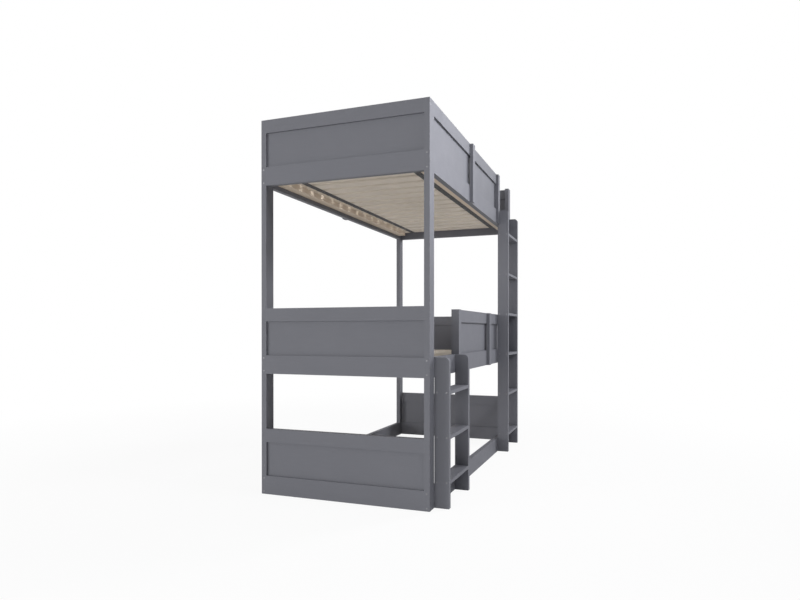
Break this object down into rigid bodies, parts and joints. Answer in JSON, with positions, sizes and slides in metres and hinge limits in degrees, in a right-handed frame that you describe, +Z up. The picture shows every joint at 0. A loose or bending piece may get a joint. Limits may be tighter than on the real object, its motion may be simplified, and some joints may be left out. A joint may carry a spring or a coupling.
{
  "type": "triple bunk bed",
  "caption": "Painted wooden bunk bed with bunks stacked one above the other, slatted bases, framed end boards and guards, and upright ladders with flat treads.",
  "frame": {"origin": "on the floor, under the middle of the whole part's bounding box", "axes": "+Z up, +Y along the bed's length, +X across the bed towards the ladders"},
  "size_m": [1.077, 2.08, 2.06],
  "materials": {
    "grey_paint": "satin paint on wood",
    "pine": "raw planed pine, matt",
    "webbing": "woven strap, matt",
    "steel": "zinc-plated screw heads"
  },
  "bodies": {
    "root": {"post_left_front": "grey_paint", "post_left_back": "grey_paint", "post_right_front": "grey_paint", "post_right_back": "grey_paint", "left_end_low_top_rail": "grey_paint", "left_end_low_panel": "grey_paint", "left_end_low_bottom_rail": "grey_paint", "left_end_middle_top_rail": "grey_paint", "left_end_middle_panel": "grey_paint", "left_end_middle_bottom_rail": "grey_paint", "left_end_top_top_rail": "grey_paint", "left_end_top_panel": "grey_paint", "left_end_top_bottom_rail": "grey_paint", "right_end_low_top_rail": "grey_paint", "right_end_low_panel": "grey_paint", "right_end_low_bottom_rail": "grey_paint", "right_end_middle_top_rail": "grey_paint", "right_end_middle_panel": "grey_paint", "right_end_middle_bottom_rail": "grey_paint", "right_end_top_top_rail": "grey_paint", "right_end_top_panel": "grey_paint", "right_end_top_bottom_rail": "grey_paint", "front_side_rail_low": "grey_paint", "back_side_rail_low": "grey_paint", "front_guard_middle_top_rail": "grey_paint", "front_guard_middle_panel": "grey_paint", "front_side_rail_middle": "grey_paint", "front_cleat_middle": "pine", "back_guard_middle_top_rail": "grey_paint", "back_guard_middle_panel": "grey_paint", "back_side_rail_middle": "grey_paint", "back_cleat_middle": "pine", "front_guard_middle_batten": "grey_paint", "front_guard_middle_end_stile": "grey_paint", "slat_base_middle": "pine", "front_guard_top_top_rail": "grey_paint", "front_guard_top_panel": "grey_paint", "front_side_rail_top": "grey_paint", "front_cleat_top": "pine", "back_guard_top_top_rail": "grey_paint", "back_guard_top_panel": "grey_paint", "back_side_rail_top": "grey_paint", "back_cleat_top": "pine", "front_guard_top_batten": "grey_paint", "front_guard_top_end_stile": "grey_paint", "slat_base_top": "pine", "back_guard_top_batten": "grey_paint", "short_ladder_left_stile": "grey_paint", "short_ladder_right_stile": "grey_paint", "short_ladder_tread_1": "grey_paint", "short_ladder_tread_2": "grey_paint", "short_ladder_tread_3": "grey_paint", "tall_ladder_left_stile": "grey_paint", "tall_ladder_right_stile": "grey_paint", "tall_ladder_tread_1": "grey_paint", "tall_ladder_tread_2": "grey_paint", "tall_ladder_tread_3": "grey_paint", "tall_ladder_tread_4": "grey_paint", "tall_ladder_tread_5": "grey_paint", "tall_ladder_tread_6": "grey_paint"}
  },
  "joints": []
}
